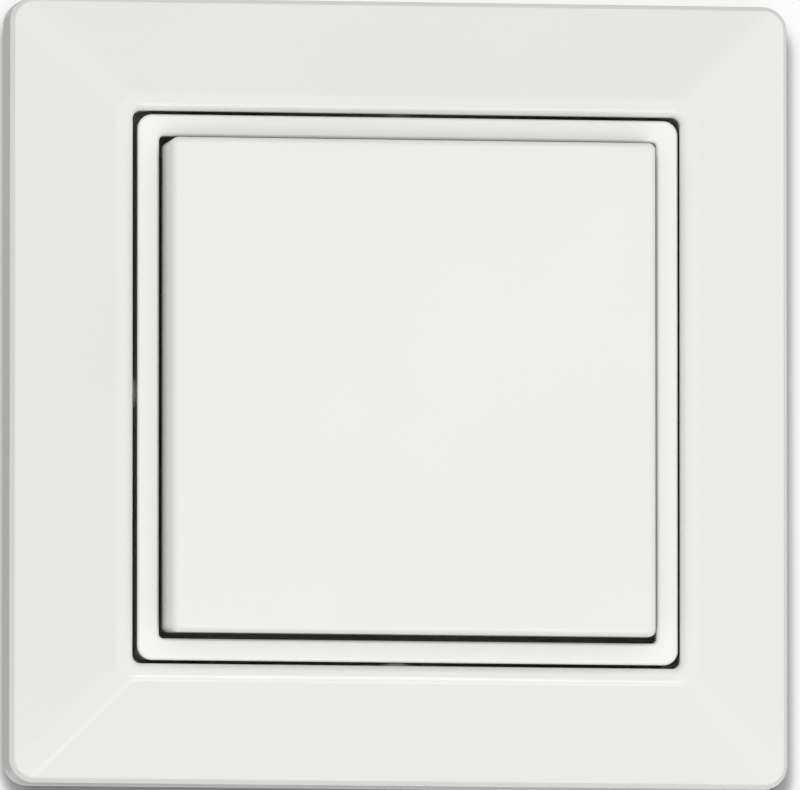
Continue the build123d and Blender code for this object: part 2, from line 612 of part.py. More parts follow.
# Energy bow: see-saw frame round the block, with bosses on the bow pins and a lug for the leaf
with BuildPart() as energy_bow:
    with BuildSketch(at_depth(BOW_REAR_DEPTH)):
        RectangleRounded(2 * bow_outer_x, 2 * bow_outer_z, BOW_CORNER)
        Rectangle(2 * bow_inner_x, 2 * bow_inner_z, mode=Mode.SUBTRACT)
    extrude(amount=BOW_ARM_FRONT_DEPTH - BOW_REAR_DEPTH)
    for side in (-1, 1):
        low, high = sorted((side * bow_inner_z, side * bow_outer_z))
        half_bar = bow_outer_x - BOW_CORNER
        block(-half_bar, half_bar, low, high, BOW_REAR_DEPTH, BOW_BAR_FRONT_DEPTH)
        outer = max(side * bow_inner_x, side * bow_outer_x)
        with BuildSketch(side_plane(outer)):
            with Locations((AXIS_DEPTH, 0)):
                Circle(BOW_BOSS_DIAMETER / 2)
        extrude(amount=BOW_ARM_WIDTH)
        with BuildSketch(side_plane(outer)):
            with Locations((AXIS_DEPTH, 0)):
                Circle(BOW_PIN_DIAMETER / 2 + RUNNING_CLEARANCE)
        extrude(amount=BOW_ARM_WIDTH, mode=Mode.SUBTRACT)
    lug_left = lug_x - LUG_THICKNESS / 2
    lug_right = lug_x + LUG_THICKNESS / 2
    lug_low = lug_place_z - LUG_WIDTH / 2
    lug_high = lug_place_z + LUG_WIDTH / 2
    block(lug_left, lug_right, lug_low, lug_high, LUG_REAR_DEPTH, BOW_ARM_FRONT_DEPTH)
    notch_rear = leaf_depth - RUNNING_CLEARANCE
    notch_front = leaf_depth + LEAF_THICKNESS + RUNNING_CLEARANCE
    notch_right = leaf_end + SIDE_PLAY
    block(lug_left, notch_right, lug_low, lug_high, notch_rear, notch_front, Mode.SUBTRACT)
finish_piece(energy_bow, "energy_bow")

# Return springs: one under each bar of the bow, coiled in short straight steps
spring_radius = SPRING_MEAN_DIAMETER / 2
spring_rear = base_floor + SPRING_WIRE / 2
spring_rise = (BOW_REAR_DEPTH - base_floor - SPRING_WIRE) / (SPRING_TURNS * SPRING_STEPS)
for label, place in (("return_spring_upper", spring_z), ("return_spring_lower", -spring_z)):
    coil_points = []
    for step in range(SPRING_TURNS * SPRING_STEPS + 1):
        turn = 2 * pi * step / SPRING_STEPS
        coil_depth = spring_rear + step * spring_rise
        coil_points.append(
            (spring_radius * cos(turn), -coil_depth, place + spring_radius * sin(turn))
        )
    with BuildPart() as return_spring:
        with BuildLine():
            spring_line = Polyline(*coil_points)
        with BuildSketch(Plane(origin=spring_line @ 0, z_dir=spring_line % 0)):
            RegularPolygon(SPRING_WIRE / 2, WIRE_SIDES)
        sweep(transition=Transition.RIGHT)
    finish_piece(return_spring, label)

# Drive spring: leaf strip from the carrier's arm into the bow's lug
with BuildPart() as drive_spring:
    leaf_low = lug_place_z - LEAF_WIDTH / 2
    leaf_high = lug_place_z + LEAF_WIDTH / 2
    leaf_start = carrier_right - CARRIER_ARM_WIDTH
    block(leaf_start, leaf_end, leaf_low, leaf_high, leaf_depth, leaf_depth + LEAF_THICKNESS)
finish_piece(drive_spring, "drive_spring")

# Armature: magnet between two pole plates, held by a carrier with two trunnions
with BuildPart() as magnet:
    half_magnet = MAGNET_HALF_LENGTH
    block(magnet_left, magnet_right, -half_magnet, half_magnet, magnet_rear, magnet_front)
finish_piece(magnet, "magnet")

for label, rear in (("pole_plate_outer", magnet_front), ("pole_plate_inner", magnet_rear - POLE_THICKNESS)):
    with BuildPart() as pole_plate:
        block(magnet_left, magnet_right, -leg_outer, leg_outer, rear, rear + POLE_THICKNESS)
    finish_piece(pole_plate, label)

carrier_rear = ARMATURE_AXIS_DEPTH - CARRIER_HEIGHT / 2
carrier_front = ARMATURE_AXIS_DEPTH + CARRIER_HEIGHT / 2
with BuildPart() as magnet_carrier:
    block(carrier_left, magnet_left, -half_carrier, half_carrier, carrier_rear, carrier_front)
    block(magnet_right, carrier_right, -half_carrier, half_carrier, carrier_rear, carrier_front)
    for side in (-1, 1):
        low, high = sorted((side * MAGNET_HALF_LENGTH, side * half_carrier))
        block(magnet_left, magnet_right, low, high, magnet_rear, magnet_front)
    for end in (carrier_right + TRUNNION_LENGTH, carrier_left):
        with BuildSketch(side_plane(end)):
            with Locations((ARMATURE_AXIS_DEPTH, 0)):
                Circle(TRUNNION_DIAMETER / 2)
        extrude(amount=TRUNNION_LENGTH)
    arm_left = carrier_right - CARRIER_ARM_WIDTH
    arm_high = lug_place_z + LEAF_WIDTH / 2
    arm_rear = leaf_depth - CARRIER_ARM_THICKNESS
    block(arm_left, carrier_right, half_carrier, arm_high, arm_rear, leaf_depth)
finish_piece(magnet_carrier, "magnet_carrier")

# Iron core: U of laminated sheet with its yoke in the coil and its legs between the pole plates
with BuildPart() as iron_core:
    with BuildSketch(at_depth(core_rear)):
        with BuildLine():
            Polyline(
                (magnet_right, leg_outer),
                (yoke_left, leg_outer),
                (yoke_left, -leg_outer),
                (magnet_right, -leg_outer),
                (magnet_right, -leg_inner),
                (yoke_right, -leg_inner),
                (yoke_right, leg_inner),
                (magnet_right, leg_inner),
                close=True,
            )
        make_face()
    extrude(amount=CORE_THICKNESS)
finish_piece(iron_core, "iron_core")

# Coil: bobbin with two flanges on the yoke, winding between them and two terminals
tube_width = CORE_YOKE_WIDTH + 2 * (BOBBIN_CLEARANCE + BOBBIN_TUBE_WALL)
tube_height = CORE_THICKNESS + 2 * (BOBBIN_CLEARANCE + BOBBIN_TUBE_WALL)
with BuildPart() as coil_bobbin:
    for start in (bobbin_half_length, -coil_half_length):
        with BuildSketch(level_plane(start)):
            with Locations((coil_middle, ARMATURE_AXIS_DEPTH)):
                Rectangle(BOBBIN_FLANGE_WIDTH, BOBBIN_FLANGE_HEIGHT)
        extrude(amount=BOBBIN_FLANGE)
    with BuildSketch(level_plane(coil_half_length)):
        with Locations((coil_middle, ARMATURE_AXIS_DEPTH)):
            Rectangle(tube_width, tube_height)
    extrude(amount=2 * coil_half_length)
    with BuildSketch(level_plane(bobbin_half_length)):
        with Locations((coil_middle, ARMATURE_AXIS_DEPTH)):
            Rectangle(CORE_YOKE_WIDTH + 2 * BOBBIN_CLEARANCE, CORE_THICKNESS + 2 * BOBBIN_CLEARANCE)
    extrude(amount=2 * bobbin_half_length, mode=Mode.SUBTRACT)
finish_piece(coil_bobbin, "coil_bobbin")

with BuildPart() as coil_winding:
    with BuildSketch(level_plane(coil_half_length)) as coil_profile:
        with Locations((coil_middle, ARMATURE_AXIS_DEPTH)):
            Rectangle(COIL_WIDTH, COIL_HEIGHT)
        chamfer(coil_profile.vertices(), COIL_CORNER)
        with Locations((coil_middle, ARMATURE_AXIS_DEPTH)):
            Rectangle(tube_width, tube_height, mode=Mode.SUBTRACT)
    extrude(amount=2 * coil_half_length)
finish_piece(coil_winding, "coil_winding")

terminal_rear = ARMATURE_AXIS_DEPTH + BOBBIN_FLANGE_HEIGHT / 2
terminal_z = bobbin_half_length - BOBBIN_FLANGE / 2
terminal_places = [
    (coil_middle - TERMINAL_SPACING / 2, terminal_z),
    (coil_middle + TERMINAL_SPACING / 2, terminal_z),
]
with BuildPart() as coil_terminals:
    with BuildSketch(at_depth(terminal_rear)):
        with Locations(*terminal_places):
            Rectangle(TERMINAL_WIDTH, TERMINAL_WIDTH)
    extrude(amount=BOARD_DEPTH - terminal_rear)
finish_piece(coil_terminals, "coil_terminals")

# Circuit board on the base's posts, with holes for the pins on two of them
post_hole_radius = (POST_PIN_DIAMETER + POST_HOLE_CLEARANCE) / 2
with BuildPart() as circuit_board:
    with BuildSketch(at_depth(BOARD_DEPTH)):
        Rectangle(board_size, board_size)
        with Locations(*PIN_POSTS):
            RegularPolygon(post_hole_radius, SMALL_ROUND_SIDES, mode=Mode.SUBTRACT)
    extrude(amount=BOARD_THICKNESS)
finish_piece(circuit_board, "circuit_board")

# Contact mat: rubber sheet with four hollow nipples, each with a carbon pill
with BuildPart() as contact_mat:
    with BuildSketch(at_depth(board_front)):
        Rectangle(board_size, board_size)
    extrude(amount=mat_thickness)
    with BuildSketch(at_depth(block_ceiling)):
        with Locations(*CORNERS):
            RegularPolygon(MAT_NIPPLE_DIAMETER / 2, SMALL_ROUND_SIDES)
    extrude(amount=MAT_NIPPLE_HEIGHT, taper=MAT_NIPPLE_TAPER)
    with BuildSketch(at_depth(board_front)):
        with Locations(*CORNERS):
            RegularPolygon(MAT_CAVITY_DIAMETER / 2, SMALL_ROUND_SIDES)
    extrude(amount=MAT_CAVITY_HEIGHT, mode=Mode.SUBTRACT)
finish_piece(contact_mat, "contact_mat")

with BuildPart() as contact_pills:
    with BuildSketch(at_depth(pill_front - PILL_THICKNESS)):
        with Locations(*CORNERS):
            RegularPolygon(PILL_DIAMETER / 2, SMALL_ROUND_SIDES)
    extrude(amount=PILL_THICKNESS)
finish_piece(contact_pills, "contact_pills")

# Parts soldered under the board, in the space beside the armature
chip_place = (parts_column, CHIP_PLACE_Z)
crystal_place = (parts_column, CRYSTAL_PLACE_Z)
capacitor_places = [(parts_column, place) for place in CAPACITOR_PLACES_Z]
rectifier_place = (board_half - RECTIFIER_INSET, RECTIFIER_PLACE_Z)
SMALL_PARTS = [
    ("radio_chip", CHIP_SIZE, CHIP_SIZE, CHIP_HEIGHT, [chip_place]),
    ("crystal", CRYSTAL_LENGTH, CRYSTAL_WIDTH, CRYSTAL_HEIGHT, [crystal_place]),
    ("storage_capacitors", CAPACITOR_LENGTH, CAPACITOR_WIDTH, CAPACITOR_HEIGHT, capacitor_places),
    ("rectifier", RECTIFIER_WIDTH, RECTIFIER_LENGTH, RECTIFIER_HEIGHT, [rectifier_place]),
]
for label, width, length, height, places in SMALL_PARTS:
    with BuildPart() as small_part:
        with BuildSketch(at_depth(BOARD_DEPTH - height)):
            with Locations(*places):
                Rectangle(width, length)
        extrude(amount=height)
    finish_piece(small_part, label)

# Antenna: wire from the board down to the clips along the tray's left wall
with BuildPart() as antenna:
    with BuildLine():
        Polyline(
            (antenna_start_x, -BOARD_DEPTH, antenna_start_z),
            (antenna_start_x, -ANTENNA_DEPTH, antenna_start_z),
            (antenna_wall_x, -ANTENNA_DEPTH, antenna_start_z),
            (antenna_wall_x, -ANTENNA_DEPTH, antenna_end_z),
        )
    with BuildSketch(Plane(origin=(antenna_start_x, -BOARD_DEPTH, antenna_start_z), z_dir=(0, 1, 0))):
        RegularPolygon(ANTENNA_DIAMETER / 2, WIRE_SIDES)
    sweep(transition=Transition.RIGHT)
finish_piece(antenna, "antenna")
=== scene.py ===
"""Looks of the wireless wall switch: materials, round springs, wall, light and camera."""

import json
import math

import bpy
from mathutils import Matrix, Vector


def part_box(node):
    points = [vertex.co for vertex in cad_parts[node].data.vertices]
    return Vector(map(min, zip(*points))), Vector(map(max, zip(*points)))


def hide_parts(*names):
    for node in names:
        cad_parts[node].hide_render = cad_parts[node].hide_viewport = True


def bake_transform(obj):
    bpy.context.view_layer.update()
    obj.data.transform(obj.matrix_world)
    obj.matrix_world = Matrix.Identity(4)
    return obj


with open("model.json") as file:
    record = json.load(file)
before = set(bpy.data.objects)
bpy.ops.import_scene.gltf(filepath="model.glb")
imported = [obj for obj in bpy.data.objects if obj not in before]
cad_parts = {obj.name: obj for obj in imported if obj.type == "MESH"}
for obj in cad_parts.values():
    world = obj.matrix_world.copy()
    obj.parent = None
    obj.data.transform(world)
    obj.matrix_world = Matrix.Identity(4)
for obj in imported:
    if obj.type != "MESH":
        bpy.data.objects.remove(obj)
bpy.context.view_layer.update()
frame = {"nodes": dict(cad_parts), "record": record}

NODES = frame["nodes"]
MM = 0.001

# Viewpoint: below and to the left of the middle, far away, as the photograph shows it
CAMERA_AZIMUTH = math.radians(-8.8)
CAMERA_ELEVATION = math.radians(-4.5)
CAMERA_DISTANCE = 2.8
CAMERA_REACH = 50.0
SENSOR_WIDTH = 36.0
PHOTO_WIDTH = 800
PHOTO_HEIGHT = 790
PIXELS_PER_METRE = 9850.0
RING_CENTRE_PIXEL = (408.2, 389.8)
RING_FRONT_DEPTH = 10.4 * MM


# Small node helpers


def new_material(name):
    """Empty node material with a Principled shader: returns material, nodes, links, shader."""
    material = bpy.data.materials.new(name)
    material.use_nodes = True
    tree = material.node_tree
    shader = tree.nodes["Principled BSDF"]
    return material, tree.nodes, tree.links, shader


def object_coordinates(nodes):
    """Object coordinates, which stay with the piece."""
    return nodes.new("ShaderNodeTexCoord").outputs["Object"]


def noise(nodes, links, coordinates, scale, detail=3.0, rough=0.5):
    """Noise texture of this scale per metre."""
    texture = nodes.new("ShaderNodeTexNoise")
    texture.inputs["Scale"].default_value = scale
    texture.inputs["Detail"].default_value = detail
    texture.inputs["Roughness"].default_value = rough
    links.new(coordinates, texture.inputs["Vector"])
    return texture.outputs["Fac"]


def ramp(nodes, links, value, low, high, low_colour, high_colour):
    """Colour ramp between two positions."""
    node = nodes.new("ShaderNodeValToRGB")
    node.color_ramp.elements[0].position = low
    node.color_ramp.elements[0].color = (*low_colour, 1)
    node.color_ramp.elements[1].position = high
    node.color_ramp.elements[1].color = (*high_colour, 1)
    links.new(value, node.inputs["Fac"])
    return node.outputs["Color"]


def bump(nodes, links, height, strength, distance, normal=None):
    """Bump from a height, on top of an earlier normal if there is one."""
    node = nodes.new("ShaderNodeBump")
    node.inputs["Strength"].default_value = strength
    node.inputs["Distance"].default_value = distance
    links.new(height, node.inputs["Height"])
    if normal is not None:
        links.new(normal, node.inputs["Normal"])
    return node.outputs["Normal"]


def uneven_gloss(nodes, links, shader, pattern, roughness, share):
    """Roughness that rises and falls by this share with the pattern."""
    level = nodes.new("ShaderNodeMapRange")
    level.inputs["To Min"].default_value = roughness * (1 - share)
    level.inputs["To Max"].default_value = roughness * (1 + share)
    links.new(pattern, level.inputs["Value"])
    links.new(level.outputs["Result"], shader.inputs["Roughness"])


def spread(colour, amount):
    """The colour a little darker and a little lighter."""
    dark = tuple(max(0.0, c * (1 - amount)) for c in colour)
    light = tuple(min(1.0, c * (1 + amount)) for c in colour)
    return dark, light


# Materials: scales and grains are per metre, shares and variations are parts of the value itself

PLASTIC_IOR = 1.5
PLASTIC_GLOSS_SHARE = 0.12
DRIFT_SCALE = 45.0
GLOSS_SCALE = 160.0
EDGE_SAMPLES = 8
RECESS_SAMPLES = 6
COVER_GRAIN = 900.0
COVER_GRAIN_DEPTH = 0.004 * MM
COVER_VARIATION = 0.008
METAL_VARIATION = 0.12
METAL_GLOSS_SHARE = 0.25
METAL_SCRATCH_DEPTH = 0.004 * MM
WINDING_DEPTH = 0.04 * MM
TRACE_DEPTH = 0.03 * MM
FOAM_DEPTH = 0.06 * MM

# Painted shade of a recess, darkened into the colour: how far a surface looks for others, and how
# dark it gets as the open share falls
# Joints get painted shade deep in their gaps; the rocker gets painted shade with a longer reach up
# its side walls
PAINTED_JOINT_SHADE = {"reach": 1.2 * MM, "closed": 0.1, "open": 0.42, "tone": 0.15}
PAINTED_ROCKER_SHADE = {"reach": 4.0 * MM, "closed": 0.4, "open": 0.95, "tone": 0.5}


def painted_recess_shade(nodes, links, colour, shade):
    """The colour with painted shade: darker where other surfaces close it in, as deep in a joint."""
    open_share = nodes.new("ShaderNodeAmbientOcclusion")
    open_share.samples = RECESS_SAMPLES
    open_share.inputs["Distance"].default_value = shade["reach"]
    level = nodes.new("ShaderNodeMapRange")
    level.inputs["From Min"].default_value = shade["closed"]
    level.inputs["From Max"].default_value = shade["open"]
    level.inputs["To Min"].default_value = shade["tone"]
    links.new(open_share.outputs["AO"], level.inputs["Value"])
    tone = nodes.new("ShaderNodeVectorMath")
    tone.operation = "SCALE"
    links.new(colour, tone.inputs[0])
    links.new(level.outputs["Result"], tone.inputs["Scale"])
    return tone.outputs["Vector"]


def moulded_plastic(
    name, colour, roughness, grain, grain_depth, variation, edge_round=0.0, shade=None
):
    """Moulded plastic: slow tone drift, fine surface grain, uneven gloss, and where asked rounded
    edges and painted shade in recesses.
    """
    material, nodes, links, shader = new_material(name)
    coordinates = object_coordinates(nodes)
    drift = noise(nodes, links, coordinates, DRIFT_SCALE, detail=2.0)
    dark, light = spread(colour, variation)
    tone = ramp(nodes, links, drift, 0.3, 0.7, dark, light)
    # Painted shade: the colour darkens where the piece is closed in
    if shade:
        tone = painted_recess_shade(nodes, links, tone, shade)
    links.new(tone, shader.inputs["Base Color"])
    gloss = noise(nodes, links, coordinates, GLOSS_SCALE, detail=3.0)
    uneven_gloss(nodes, links, shader, gloss, roughness, PLASTIC_GLOSS_SHARE)
    fine = noise(nodes, links, coordinates, grain, detail=2.0)
    rounded = None
    if edge_round:
        edges = nodes.new("ShaderNodeBevel")
        edges.samples = EDGE_SAMPLES
        edges.inputs["Radius"].default_value = edge_round
        rounded = edges.outputs["Normal"]
    surface = bump(nodes, links, fine, strength=1.0, distance=grain_depth, normal=rounded)
    links.new(surface, shader.inputs["Normal"])
    shader.inputs["IOR"].default_value = PLASTIC_IOR
    return material


def glossy_white(name, colour, roughness, edge_round, shade):
    """White cover plastic: nearly even, with a faint grain, rounded edges and painted shade in its
    recesses.
    """
    return moulded_plastic(
        name, colour, roughness, COVER_GRAIN, COVER_GRAIN_DEPTH, COVER_VARIATION, edge_round, shade
    )


def metal(name, colour, roughness, grain):
    """Drawn or stamped metal: directionless fine scratches and uneven gloss."""
    material, nodes, links, shader = new_material(name)
    coordinates = object_coordinates(nodes)
    scratches = noise(nodes, links, coordinates, grain, detail=5.0, rough=0.65)
    dark, light = spread(colour, METAL_VARIATION)
    links.new(ramp(nodes, links, scratches, 0.25, 0.75, dark, light), shader.inputs["Base Color"])
    uneven_gloss(nodes, links, shader, scratches, roughness, METAL_GLOSS_SHARE)
    surface = bump(nodes, links, scratches, strength=1.0, distance=METAL_SCRATCH_DEPTH)
    links.new(surface, shader.inputs["Normal"])
    shader.inputs["Metallic"].default_value = 1.0
    return material


def copper_winding(name):
    """Enamelled winding: fine turns side by side across the bobbin, with painted shade between the
    turns and painted light on their crowns.
    """
    material, nodes, links, shader = new_material(name)
    coordinates = object_coordinates(nodes)
    turns = nodes.new("ShaderNodeTexWave")
    turns.bands_direction = "Z"
    turns.inputs["Scale"].default_value = 1600.0
    turns.inputs["Distortion"].default_value = 0.6
    links.new(coordinates, turns.inputs["Vector"])
    # Painted shade between the turns and painted light on their crowns
    between, crown = (0.20, 0.05, 0.015), (0.80, 0.36, 0.16)
    tone = ramp(nodes, links, turns.outputs["Fac"], 0.1, 0.9, between, crown)
    links.new(tone, shader.inputs["Base Color"])
    surface = bump(nodes, links, turns.outputs["Fac"], strength=1.0, distance=WINDING_DEPTH)
    links.new(surface, shader.inputs["Normal"])
    shader.inputs["Metallic"].default_value = 1.0
    shader.inputs["Roughness"].default_value = 0.3
    return material


def solder_resist(name):
    """Green board: traces show as slightly raised, lighter lines."""
    material, nodes, links, shader = new_material(name)
    coordinates = object_coordinates(nodes)
    flat = nodes.new("ShaderNodeMapping")
    flat.inputs["Rotation"].default_value = (math.radians(90), 0, 0)
    links.new(coordinates, flat.inputs["Vector"])
    traces = nodes.new("ShaderNodeTexBrick")
    traces.offset = 0.35
    traces.inputs["Scale"].default_value = 700.0
    traces.inputs["Mortar Size"].default_value = 0.06
    traces.inputs["Color1"].default_value = (0.010, 0.105, 0.045, 1)
    traces.inputs["Color2"].default_value = (0.013, 0.125, 0.052, 1)
    traces.inputs["Mortar"].default_value = (0.030, 0.20, 0.085, 1)
    links.new(flat.outputs["Vector"], traces.inputs["Vector"])
    links.new(traces.outputs["Color"], shader.inputs["Base Color"])
    surface = bump(nodes, links, traces.outputs["Fac"], strength=0.7, distance=TRACE_DEPTH)
    links.new(surface, shader.inputs["Normal"])
    shader.inputs["Roughness"].default_value = 0.3
    return material


def foam(name, colour):
    """Foam film of the adhesive pad: open cells in colour and bump."""
    material, nodes, links, shader = new_material(name)
    coordinates = object_coordinates(nodes)
    cells = nodes.new("ShaderNodeTexVoronoi")
    cells.inputs["Scale"].default_value = 2600.0
    links.new(coordinates, cells.inputs["Vector"])
    dark, light = spread(colour, 0.08)
    tone = ramp(nodes, links, cells.outputs["Distance"], 0.1, 0.7, dark, light)
    links.new(tone, shader.inputs["Base Color"])
    surface = bump(nodes, links, cells.outputs["Distance"], strength=0.6, distance=FOAM_DEPTH)
    links.new(surface, shader.inputs["Normal"])
    shader.inputs["Roughness"].default_value = 0.9
    return material


WHITE = (0.862, 0.860, 0.842)
RING_WHITE = (0.975, 0.973, 0.955)

# Plain plastics by slot: name, colour, roughness, grain, grain depth and variation of tone
PLASTICS = {
    "grey_plate": ("plate_plastic", (0.52, 0.52, 0.51), 0.5, 3000.0, 0.02 * MM, 0.03),
    "module_white": ("cover_plastic", (0.70, 0.70, 0.67), 0.45, 3000.0, 0.02 * MM, 0.02),
    "module_grey": ("base_plastic", (0.36, 0.37, 0.38), 0.48, 3000.0, 0.02 * MM, 0.03),
    "bow_plastic": ("bow_nylon", (0.035, 0.035, 0.038), 0.42, 2500.0, 0.03 * MM, 0.1),
    "bobbin_plastic": ("bobbin_nylon", (0.02, 0.02, 0.022), 0.45, 2500.0, 0.03 * MM, 0.1),
    "mat_rubber": ("silicone_mat", (0.60, 0.60, 0.57), 0.55, 2200.0, 0.03 * MM, 0.04),
    "carbon_pill": ("carbon_rubber", (0.015, 0.015, 0.015), 0.6, 2600.0, 0.03 * MM, 0.1),
    "chip_black": ("chip_epoxy", (0.018, 0.018, 0.02), 0.5, 4000.0, 0.02 * MM, 0.1),
    "component_tan": ("capacitor_ceramic", (0.42, 0.29, 0.15), 0.5, 4000.0, 0.02 * MM, 0.1),
}

# Metals by slot: name, colour, roughness and grain
METALS = {
    "spring_steel": ("spring_steel", (0.62, 0.61, 0.59), 0.25, 5200.0),
    "magnet_grey": ("nickel_plate", (0.60, 0.59, 0.57), 0.22, 2600.0),
    "soft_iron": ("soft_iron", (0.42, 0.43, 0.44), 0.38, 4200.0),
    "bare_wire": ("tinned_copper", (0.74, 0.66, 0.52), 0.25, 4200.0),
}

MATERIALS = {
    # The white pieces take painted shade in their joints and recesses
    "white_gloss": glossy_white("white_gloss_plastic", WHITE, 0.22, 0.22 * MM, PAINTED_JOINT_SHADE),
    "white_ring": glossy_white("white_ring_plastic", RING_WHITE, 0.26, 0.35 * MM, PAINTED_JOINT_SHADE),
    "white_rocker": glossy_white("white_rocker_plastic", WHITE, 0.24, 0.7 * MM, PAINTED_ROCKER_SHADE),
    "copper_coil": copper_winding("copper_wire"),
    "board_green": solder_resist("solder_resist"),
    "foam_pad": foam("foam_film", (0.74, 0.74, 0.71)),
}
for slot, values in PLASTICS.items():
    MATERIALS[slot] = moulded_plastic(*values)
for slot, values in METALS.items():
    MATERIALS[slot] = metal(*values)

SLOT_OF = {part["node"]: part["material_slot"] for part in frame["record"]["subparts"]}
for name, node in NODES.items():
    node.data.materials.clear()
    node.data.materials.append(MATERIALS[SLOT_OF[name]])


# Springs: round wire in place of the plain coils of the frame

SPRING_TURNS = 5
SPRING_STEPS = 28
WIRE_RADIUS = 0.175 * MM
WIRE_SIDES = 10


def wire_points(middle, coil_radius, rear, front):
    """Points round the wire, ring after ring along the coil from its rear to its front end."""
    points = []
    for step in range(SPRING_TURNS * SPRING_STEPS + 1):
        turn = 2 * math.pi * step / SPRING_STEPS
        share = step / (SPRING_TURNS * SPRING_STEPS)
        outward = Vector((math.cos(turn), 0, math.sin(turn)))
        centre = Vector((middle.x, rear + (front - rear) * share, middle.z)) + outward * coil_radius
        for side in range(WIRE_SIDES):
            angle = 2 * math.pi * side / WIRE_SIDES
            offset = outward * math.cos(angle) + Vector((0, 1, 0)) * math.sin(angle)
            points.append(tuple(centre + offset * WIRE_RADIUS))
    return points


def wire_faces():
    """Faces between neighbouring rings of the wire, and one at each end."""
    faces = []
    for step in range(SPRING_TURNS * SPRING_STEPS):
        here, there = step * WIRE_SIDES, (step + 1) * WIRE_SIDES
        for side in range(WIRE_SIDES):
            after = (side + 1) % WIRE_SIDES
            faces.append((here + side, there + side, there + after, here + after))
    last = SPRING_TURNS * SPRING_STEPS * WIRE_SIDES
    faces.append(tuple(range(WIRE_SIDES)))
    faces.append(tuple(last + side for side in reversed(range(WIRE_SIDES))))
    return faces


def round_spring(node_name):
    """Helical spring of round wire, as long and as wide as the coil that it replaces."""
    low, high = (Vector(corner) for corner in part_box(node_name))
    middle = (low + high) / 2
    coil_radius = (high.x - low.x) / 2 - WIRE_RADIUS
    points = wire_points(middle, coil_radius, high.y - WIRE_RADIUS, low.y + WIRE_RADIUS)
    mesh = bpy.data.meshes.new(node_name + "_wire")
    mesh.from_pydata(points, [], wire_faces())
    mesh.shade_smooth()
    mesh.materials.append(MATERIALS["spring_steel"])
    spring = bpy.data.objects.new(node_name + "_wire", mesh)
    bpy.context.scene.collection.objects.link(spring)
    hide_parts(node_name)
    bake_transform(spring)


for spring_name in ("return_spring_upper", "return_spring_lower"):
    round_spring(spring_name)


# Stage: the wall just behind the pad, and behind it a grey reflector that isn't seen

WALL_HALF = 1.2
WALL_DEPTH = 0.15 * MM
WALL_PAINT = (0.97, 0.97, 0.97, 1)
REAL_SHADE_SHARE = 0.25

REFLECTOR_DEPTH = 0.2 * MM
REFLECTOR_OPENING = 40.2 * MM
REFLECTOR_TONE = 0.26

# Painted contact shadow on the wall: it lies lower and further right than the frame and fades out
# past its edge
SHADOW_CENTRE = (0.5 * MM, -1.3 * MM)
SHADOW_HALF = 40.0 * MM
SHADOW_CORNER = 3.0 * MM
SHADOW_INNER = 1.0 * MM
SHADOW_OUTER = 1.8 * MM
SHADOW_TINT = (1.0, 0.995, 1.0)
SHADOW_TONES = (
    (0.0, 0.06),
    (0.11, 0.10),
    (0.36, 0.17),
    (0.48, 0.27),
    (0.64, 0.56),
    (0.76, 0.82),
    (0.84, 0.90),
    (1.0, 1.0),
)


def distance_outside(nodes, links, coordinates, centre, half):
    """Distance in metres outside an upright square, zero inside it."""
    split = nodes.new("ShaderNodeSeparateXYZ")
    links.new(coordinates, split.inputs["Vector"])
    outside = nodes.new("ShaderNodeCombineXYZ")
    for axis, middle in (("X", centre[0]), ("Z", centre[1])):
        value = split.outputs[axis]
        steps = (("SUBTRACT", middle), ("ABSOLUTE", None), ("SUBTRACT", half), ("MAXIMUM", 0.0))
        for operation, number in steps:
            step = nodes.new("ShaderNodeMath")
            step.operation = operation
            links.new(value, step.inputs[0])
            if number is not None:
                step.inputs[1].default_value = number
            value = step.outputs["Value"]
        links.new(value, outside.inputs[axis])
    length = nodes.new("ShaderNodeVectorMath")
    length.operation = "LENGTH"
    links.new(outside.outputs["Vector"], length.inputs[0])
    return length.outputs["Value"]


def upright_square(half, depth):
    """Corners of a square round the part's middle, this far behind the pad's back."""
    return [(-half, depth, -half), (half, depth, -half), (half, depth, half), (-half, depth, half)]


def flat_piece(name, corners, faces, material):
    """Flat piece of the stage in one material."""
    mesh = bpy.data.meshes.new(name)
    mesh.from_pydata(corners, [], faces)
    mesh.materials.append(material)
    piece = bpy.data.objects.new(name, mesh)
    bpy.context.scene.collection.objects.link(piece)
    return piece


